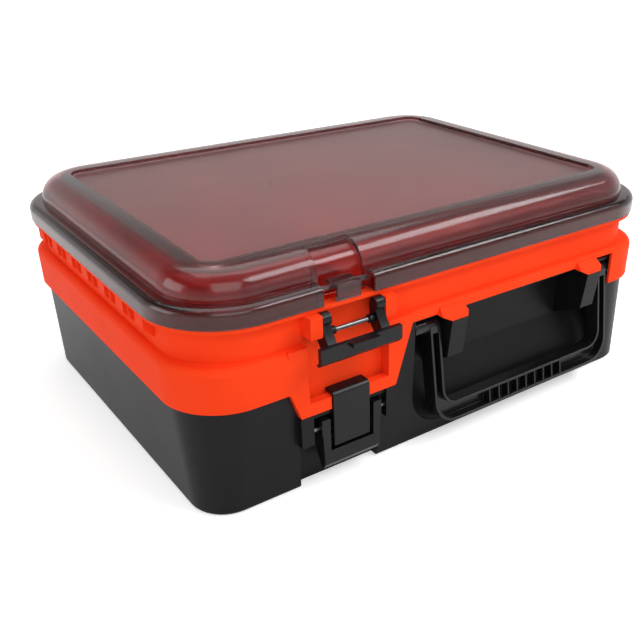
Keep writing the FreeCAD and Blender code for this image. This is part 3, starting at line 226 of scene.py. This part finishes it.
class Shade:
    """A value in a material or in the room's light, written with Python's operators."""

    def __init__(self, maker, socket):
        self.maker = maker
        self.socket = socket

    def _worked(self, operation, first, second, clamp=False):
        """The result of one Math node."""
        node = self.maker.node("ShaderNodeMath", {"operation": operation, "use_clamp": clamp},
                               {0: first, 1: second})
        return Shade(self.maker, node.outputs[0])

    def __add__(self, other):
        return self._worked("ADD", self, other)

    def __radd__(self, other):
        return self._worked("ADD", other, self)

    def __sub__(self, other):
        return self._worked("SUBTRACT", self, other)

    def __rsub__(self, other):
        return self._worked("SUBTRACT", other, self)

    def __mul__(self, other):
        return self._worked("MULTIPLY", self, other)

    def __rmul__(self, other):
        return self._worked("MULTIPLY", other, self)

    def __truediv__(self, other):
        return self._worked("DIVIDE", self, other)

    def __rtruediv__(self, other):
        return self._worked("DIVIDE", other, self)

    def power(self, other):
        """The value raised to a power."""
        return self._worked("POWER", self, other)

    def above(self, other):
        """One where the value is larger than the other, and nothing elsewhere."""
        return self._worked("GREATER_THAN", self, other)

    def size(self):
        """The value without its sign."""
        return self._worked("ABSOLUTE", self, 0.0)

    def larger(self, other):
        """The larger of two values."""
        return self._worked("MAXIMUM", self, other)

    def held(self):
        """The value kept between nothing and one."""
        return self._worked("ADD", self, 0.0, clamp=True)


def diagonal(across, along):
    """Length of a line from its parts across and along."""
    return (across * across + along * along).power(0.5)


class Nodes:
    """The nodes of a material or of the room's light."""

    def __init__(self, tree):
        self.tree = tree
        tree.nodes.clear()

    def node(self, kind, settings=None, values=None):
        """A node with its settings, and its inputs set or linked."""
        made = self.tree.nodes.new(kind)
        for key, value in (settings or {}).items():
            if key == "stops":
                for element, (place, light) in zip(made.color_ramp.elements, value):
                    element.position = place
                    element.color = (light, light, light, 1.0)
            else:
                setattr(made, key, value)
        for key, value in (values or {}).items():
            if isinstance(value, Shade):
                value = value.socket
            if isinstance(value, bpy.types.NodeSocket):
                self.tree.links.new(value, made.inputs[key])
            else:
                made.inputs[key].default_value = value
        return made

    def axes(self, kind="Object"):
        """The three coordinates of a kind, one by one."""
        coordinates = self.node("ShaderNodeTexCoord").outputs[kind]
        parts = self.node("ShaderNodeSeparateXYZ", {}, {"Vector": coordinates})
        return [Shade(self, part) for part in parts.outputs]

    def rays(self):
        """Whether the camera, a reflection or a see-through piece looks here."""
        path = self.node("ShaderNodeLightPath")
        return [Shade(self, path.outputs[f"Is {kind} Ray"]) for kind in ("Camera", "Glossy", "Transmission")]


class Finish(Nodes):
    """A material and its nodes."""

    def __init__(self, name):
        self.material = bpy.data.materials.new(name)
        self.material.use_nodes = True
        super().__init__(self.material.node_tree)

    def shaded(self, values):
        """The material, once its shader has its values and links."""
        shader = self.node("ShaderNodeBsdfPrincipled", {}, values)
        self.node("ShaderNodeOutputMaterial", {}, {"Surface": shader.outputs[0]})
        return self.material

    def beyond(self, half_width, half_depth, corner):
        """Distance outside a rounded oblong in plan, and inside it down to minus the corner radius."""
        across, along = self.axes()[:2]
        reach_x = (across.size() - (half_width - corner)).larger(0.0)
        reach_y = (along.size() - (half_depth - corner)).larger(0.0)
        return diagonal(reach_x, reach_y) - corner

    def noise(self, size):
        """Soft random value with features of the given size."""
        coordinates = self.node("ShaderNodeTexCoord").outputs["Object"]
        scale = (1.0 / size, 1.0 / size, 1.0 / size)
        place = self.node("ShaderNodeMapping", {}, {"Vector": coordinates, "Scale": scale})
        made = self.node("ShaderNodeTexNoise", {}, {"Vector": place.outputs[0], "Scale": 1.0,
                                                    "Detail": NOISE_DETAIL, "Roughness": NOISE_ROUGHNESS})
        return Shade(self, made.outputs["Fac"])

    def clouds(self, size):
        """A cloudy value, and the share of the second colour that follows it."""
        cloud = self.noise(size)
        return cloud, ((cloud - CLOUD_START) * CLOUD_GAIN).held()

    def relief(self, height, depth):
        """Surface relief of the given depth."""
        made = self.node("ShaderNodeBump", {}, {"Height": height, "Distance": depth, "Strength": 1.0})
        return made.outputs[0]

    def blended(self, share, first, second):
        """Colour between two colours."""
        made = self.node("ShaderNodeMix", {"data_type": "RGBA"},
                         {MIX_SHARE: share, MIX_FIRST: first, MIX_SECOND: second})
        return made.outputs[MIX_RESULT]

    def clouded(self, share, colours):
        """Colour between the two near colours of a finish."""
        first, second = colours
        return self.blended(share, (*first, 1.0), (*second, 1.0))


def moulded(name, colours, roughness, relief, shader, grain=PLASTIC_GRAIN):
    """Even colour with a faint cloud, fine grain and slightly uneven gloss."""
    finish = Finish(name)
    cloud, share = finish.clouds(MOULDED_CLOUD)
    grains = finish.noise(grain)
    uneven = (grains - NOISE_MIDDLE) * GRAIN_GLOSS + cloud * CLOUD_GLOSS
    return finish.shaded({
        **shader,
        "Base Color": finish.clouded(share, colours),
        "Roughness": uneven + (roughness - NOISE_MIDDLE * CLOUD_GLOSS),
        "Normal": finish.relief(grains, relief),
    })


def smoke_lid():
    """Smoke see-through plastic, clearer in the panel than in the thick border."""
    finish = Finish("lid_smoke")
    low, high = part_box("lid_shell")
    half_width = (high[0] - low[0]) / 2
    off_panel = finish.beyond(half_width - PANEL_BORDER, LID_HALF_DEPTH - PANEL_BORDER, PANEL_CORNER)
    border = off_panel.above(0.0)
    depth = -1.0 * finish.beyond(half_width, LID_HALF_DEPTH, LID_CORNER)
    past_start = ((depth - SHOULDER_LOW) / SHOULDER_FADE).held()
    before_end = ((SHOULDER_HIGH - depth) / SHOULDER_FADE).held()
    cloud, share = finish.clouds(LID_CLOUD)
    rim = finish.clouded(share, RIM_COLOURS)
    shoulder = finish.clouded(share, SHOULDER_COLOURS)
    ring = finish.clouded(share, RING_COLOURS)
    panel = finish.clouded(share, PANEL_COLOURS)
    flat = finish.blended(depth.above(SHOULDER_LOW), rim, ring)
    edge = finish.blended(past_start * before_end, flat, shoulder)
    return finish.shaded({
        "Transmission Weight": 1.0,
        "IOR": SMOKE_IOR,
        "Base Color": finish.blended(border, panel, edge),
        "Roughness": cloud * LID_CLOUD_GLOSS + border * (BORDER_ROUGH - PANEL_ROUGH) + PANEL_ROUGH,
    })


def shaped_object(name, shape):
    """An object in the scene with the mesh that a bmesh has shaped."""
    mesh = bpy.data.meshes.new(name)
    shape.to_mesh(mesh)
    shape.free()
    made = bpy.data.objects.new(name, mesh)
    bpy.context.scene.collection.objects.link(made)
    return made


def finished_copy(node, body):
    """A merged copy of a solid with its hard edges softened."""
    shape = bmesh.new()
    shape.from_mesh(frame["nodes"][node].data)
    bmesh.ops.remove_doubles(shape, verts=shape.verts, dist=MERGE_DISTANCE)
    bmesh.ops.dissolve_limit(shape, angle_limit=FLAT_ANGLE, verts=shape.verts, edges=shape.edges)
    for face in shape.faces:
        face.smooth = True
    for edge in shape.edges:
        if len(edge.link_faces) == 2 and edge.calc_face_angle(0.0) > HARD_ANGLE:
            edge.smooth = False
    piece = shaped_object("soft_" + node, shape)
    piece.data.materials.append(finishes[SLOT_FINISH[slots[node]]])
    if node in SOFTENED:
        bevel = piece.modifiers.new("edges", "BEVEL")
        bevel.width = SOFTENED[node]
        bevel.segments = SOFT_SEGMENTS
        bevel.limit_method = "ANGLE"
        bevel.angle_limit = HARD_ANGLE
        bevel.use_clamp_overlap = True
    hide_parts(node)
    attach(piece, body)


def turned_piece(name, radius, length, rounding, place, turn):
    """Round piece with rounded rims, turned from Z and moved to its place."""
    shape = bmesh.new()
    bmesh.ops.create_cone(shape, cap_ends=True, segments=TURNED_SEGMENTS, radius1=radius, radius2=radius,
                          depth=length)
    rims = [edge for edge in shape.edges if abs(edge.verts[0].co.z - edge.verts[1].co.z) < length / 2]
    bmesh.ops.bevel(shape, geom=rims, offset=rounding, segments=RIM_SEGMENTS, affect="EDGES",
                    profile=0.5, material=-1)
    bmesh.ops.transform(shape, matrix=Matrix.Translation(place) @ turn, verts=shape.verts)
    for face in shape.faces:
        face.smooth = len(face.verts) == 4
    return shaped_object(name, shape)


def pin_collars():
    """Collars on the cross pin of the upper latch, against the insides of its cheeks."""
    low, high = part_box("upper_latch_cross_pin")
    middle = (Vector(low) + Vector(high)) / 2
    reach = (high[0] - low[0]) / 2 - COLLAR_INSET - COLLAR_LENGTH / 2
    for name, side in (("left", -1), ("right", 1)):
        place = middle + Vector((side * reach, 0.0, 0.0))
        collar = turned_piece("upper_pin_collar_" + name, COLLAR_RADIUS, COLLAR_LENGTH, COLLAR_ROUND,
                              place, Matrix.Rotation(math.pi / 2, 4, "Y"))
        collar.data.materials.append(finishes["latch_black"])
        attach(collar, body_of["upper_latch_cross_pin"])


def gate_marks():
    """Two small gate marks of the moulding on the lid's panel."""
    lid_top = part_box("lid_shell")[1][2]
    for index, (across, along) in enumerate(GATE_PLACES):
        place = Vector((across, along, lid_top - PANEL_DROP))
        mark = turned_piece(f"lid_gate_mark_{index + 1}", GATE_RADIUS, GATE_HEIGHT, GATE_ROUND,
                            place, Matrix.Identity(4))
        mark.data.materials.append(finishes["lid_smoke"])
        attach(mark, body_of["lid_shell"])


def pale_floor():
    """Pale floor that shows white to the camera and keeps the case's shadow."""
    shape = bmesh.new()
    bmesh.ops.create_grid(shape, x_segments=1, y_segments=1, size=FLOOR_HALF)
    floor = shaped_object("floor", shape)
    floor.location = (0.0, 0.0, -FLOOR_GAP)
    finish = Finish("floor_white")
    camera, mirrored, through = finish.rays()
    seen = camera.larger(mirrored * FLOOR_IN_GLOSS).larger(through)
    across, along = finish.axes()[:2]
    far = ((diagonal(across, along) - FLOOR_NEAR) / (FLOOR_FAR - FLOOR_NEAR)).held()
    glow = seen * (far * (FLOOR_GLOW_FAR - FLOOR_GLOW_NEAR) + FLOOR_GLOW_NEAR)
    floor.data.materials.append(finish.shaded({
        "Base Color": FLOOR_COLOUR,
        "Roughness": FLOOR_ROUGH,
        "Specular IOR Level": 0.0,
        "Emission Color": finish.blended(glow, BLACK, WHITE),
        "Emission Strength": 1.0,
    }))


def white_room():
    """Grey light that dims overhead, and a white backdrop for the camera and low reflections."""
    world = bpy.context.scene.world or bpy.data.worlds.new("room")
    bpy.context.scene.world = world
    world.use_nodes = True
    room = Nodes(world.node_tree)
    height = room.axes("Generated")[2]
    light = room.node("ShaderNodeValToRGB", {"stops": SKY_STOPS}, {0: height})
    grey = room.node("ShaderNodeBackground", {}, {"Color": light.outputs[0], "Strength": 1.0})
    white = room.node("ShaderNodeBackground", {}, {"Color": WHITE, "Strength": 1.0})
    fade = ((BACKDROP_GONE - height) / (BACKDROP_GONE - BACKDROP_WHOLE)).held()
    camera, mirrored, through = room.rays()
    seen = camera.larger(mirrored * fade).larger(through * fade)
    mixed = room.node("ShaderNodeMixShader", {}, {0: seen, 1: grey.outputs[0], 2: white.outputs[0]})
    room.node("ShaderNodeOutputWorld", {}, {"Surface": mixed.outputs[0]})


def softbox(name, place, target, size, power):
    """Area lamp that faces the target."""
    data = bpy.data.lights.new(name, "AREA")
    data.shape = "RECTANGLE"
    data.size, data.size_y = size
    data.energy = power
    lamp = bpy.data.objects.new(name, data)
    lamp.location = place
    lamp.rotation_euler = (Vector(target) - Vector(place)).to_track_quat("-Z", "Y").to_euler()
    bpy.context.scene.collection.objects.link(lamp)


def photograph_camera():
    """Camera at the photograph's place, direction and frame."""
    data = bpy.data.cameras.new("camera")
    data.sensor_width = SENSOR_WIDTH
    data.sensor_fit = "HORIZONTAL"
    data.lens = LENS
    data.shift_x = SHIFT_X
    data.shift_y = SHIFT_Y
    data.clip_start = NEAREST_SEEN
    data.clip_end = FARTHEST_SEEN
    camera = bpy.data.objects.new("camera", data)
    turn = Matrix.Rotation(CAMERA_TURN, 4, "Z")
    tilt = Matrix.Rotation(math.pi / 2 - CAMERA_TILT, 4, "X")
    roll = Matrix.Rotation(CAMERA_ROLL, 4, "Z")
    camera.matrix_world = Matrix.Translation(CAMERA_PLACE) @ turn @ tilt @ roll
    bpy.context.scene.collection.objects.link(camera)
    bpy.context.scene.camera = camera


finishes = {name: moulded(name, **look) for name, look in MOULDED.items()}
finishes["lid_smoke"] = smoke_lid()
for node, body in body_of.items():
    finished_copy(node, body)
pin_collars()
gate_marks()
pale_floor()
white_room()
for name, setting in SOFTBOXES.items():
    softbox(name, *setting)
photograph_camera()
bpy.context.scene.view_settings.view_transform = "Standard"
